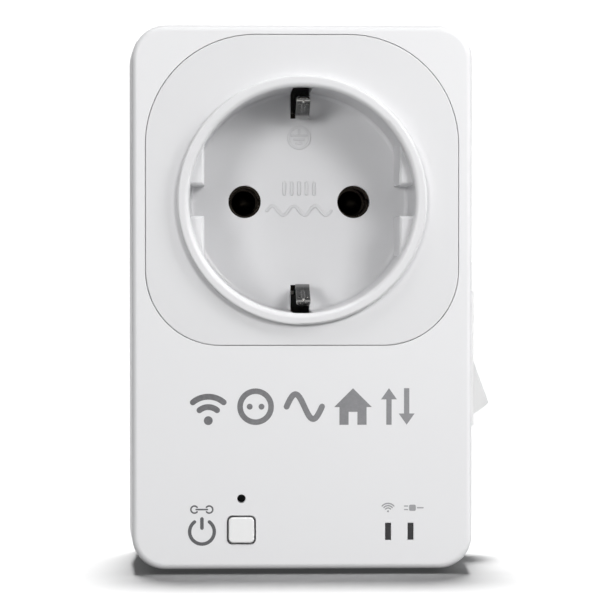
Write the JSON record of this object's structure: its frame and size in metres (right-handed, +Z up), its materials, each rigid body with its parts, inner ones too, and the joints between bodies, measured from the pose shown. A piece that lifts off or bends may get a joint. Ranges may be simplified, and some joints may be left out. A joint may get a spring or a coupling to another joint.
{
  "type": "powerline adapter",
  "caption": "Upright plug-through mains adapter: earthed round socket in front, earthed plug behind, push button, status lights and a side rocker switch.",
  "frame": {"origin": "on the common axis of the plug and socket, in the plane of the housing's rear face that lies against the wall", "axes": "+Y out of the back along the plug's pins into the wall, +Z up, +X to the right of somebody facing the socket"},
  "size_m": [0.0635, 0.0801, 0.0936],
  "materials": {
    "white_housing": "fine satin moulded plastic",
    "white_insert": "smooth satin moulded plastic",
    "white_control": "smooth glossy moulded plastic",
    "white_plug": "satin moulded plastic",
    "window_plastic": "dark tinted clear plastic",
    "nickel": "bright nickel plate on brass",
    "spring_nickel": "nickel-plated spring metal",
    "copper": "bare stamped copper",
    "brass_contact": "stamped brass",
    "steel_screw": "zinc-plated steel",
    "circuit_board": "green solder mask",
    "black_plastic": "black moulded plastic",
    "relay_case": "dark blue moulded case",
    "ferrite": "sintered dark grey",
    "winding_tape": "yellow polyester tape over enamelled wire",
    "capacitor_sleeve": "shrunk sleeve on an aluminium can",
    "film_capacitor": "yellow moulded case",
    "varistor_coat": "dipped blue epoxy",
    "resistor_body": "painted ceramic",
    "tin_plate": "tin-plated steel",
    "chip_package": "black epoxy",
    "label_film": "silver-grey polyester film",
    "light_chip": "clear resin over a light chip"
  },
  "bodies": {
    "root": {"antenna": "tin_plate", "board_chips": "chip_package", "board_header": "black_plastic", "bulk_capacitors": "capacitor_sleeve", "choke": "ferrite", "control_board": "circuit_board", "control_board_screws": "steel_screw", "earth_link_bottom": "brass_contact", "earth_link_top": "brass_contact", "earth_pin_socket": "nickel", "earth_strap": "brass_contact", "front_housing": "white_housing", "fuse_resistor": "resistor_body", "housing_screws": "steel_screw", "indicator_leds": "light_chip", "light_pipe_power": "window_plastic", "light_pipe_wireless": "window_plastic", "line_coupling_transformer": "ferrite", "live_busbar_in": "copper", "live_busbar_out": "copper", "neutral_busbar": "copper", "output_capacitor": "capacitor_sleeve", "pair_switch_body": "black_plastic", "plug_body": "white_plug", "plug_earth_strip_bottom": "nickel", "plug_earth_strip_top": "nickel", "plug_pin_left": "nickel", "plug_pin_right": "nickel", "power_board": "circuit_board", "power_board_screws": "steel_screw", "rating_label": "label_film", "rear_housing": "white_housing", "relay": "relay_case", "reset_switch_body": "black_plastic", "rocker_housing": "white_control", "rocker_terminal_common": "brass_contact", "rocker_terminal_switched": "brass_contact", "shield_can": "tin_plate", "socket_contact_left": "brass_contact", "socket_contact_right": "brass_contact", "socket_insert": "white_insert", "strap_screws": "steel_screw", "suppression_capacitor": "film_capacitor", "transformer_core": "ferrite", "transformer_winding": "winding_tape", "varistor": "varistor_coat"},
    "button": {"pair_button": "white_control"},
    "pair_plunger": {"pair_switch_plunger": "black_plastic"},
    "reset_plunger": {"reset_switch_plunger": "black_plastic"},
    "rocker_body": {"rocker": "white_control", "rocker_plunger": "black_plastic", "rocker_spring": "steel_screw"},
    "contact_lever": {"rocker_contact_lever": "brass_contact"},
    "clip_top": {"earth_clip_top": "spring_nickel"},
    "clip_bottom": {"earth_clip_bottom": "spring_nickel"}
  },
  "joints": [
    {"name": "pair_button_press", "type": "slide", "parent": "root", "child": "button", "axis": [0, 1, 0], "range_m": [0, 0.0005], "stiffness_N_per_m": 2000, "springref_m": -0.0003},
    {"name": "pair_plunger_press", "type": "slide", "parent": "root", "child": "pair_plunger", "axis": [0, 1, 0], "range_m": [0, 0.0005]},
    {"name": "reset_plunger_press", "type": "slide", "parent": "root", "child": "reset_plunger", "axis": [0, 1, 0], "range_m": [0, 0.0003], "stiffness_N_per_m": 3000, "springref_m": -0.0002},
    {"name": "rocker_tilt", "type": "hinge", "parent": "root", "child": "rocker_body", "pos_m": [0.026, -0.012, -0.0276], "axis": [0, 1, 0], "range_deg": [0, 20]},
    {"name": "contact_lever_tilt", "type": "hinge", "parent": "root", "child": "contact_lever", "pos_m": [0.01965, -0.012, -0.0276], "axis": [0, 1, 0], "range_deg": [-16, 0]},
    {"name": "earth_clip_top_flex", "type": "hinge", "parent": "root", "child": "clip_top", "pos_m": [0, -0.019, 0.0158], "axis": [-1, 0, 0], "range_deg": [0, 8], "stiffness_Nm_per_rad": 0.4},
    {"name": "earth_clip_bottom_flex", "type": "hinge", "parent": "root", "child": "clip_bottom", "pos_m": [0, -0.019, -0.0158], "axis": [1, 0, 0], "range_deg": [0, 8], "stiffness_Nm_per_rad": 0.4}
  ],
  "couplings": [
    {"joint": "pair_plunger_press", "follows": "pair_button_press", "ratio": 1},
    {"joint": "contact_lever_tilt", "follows": "rocker_tilt", "ratio": -0.8}
  ]
}
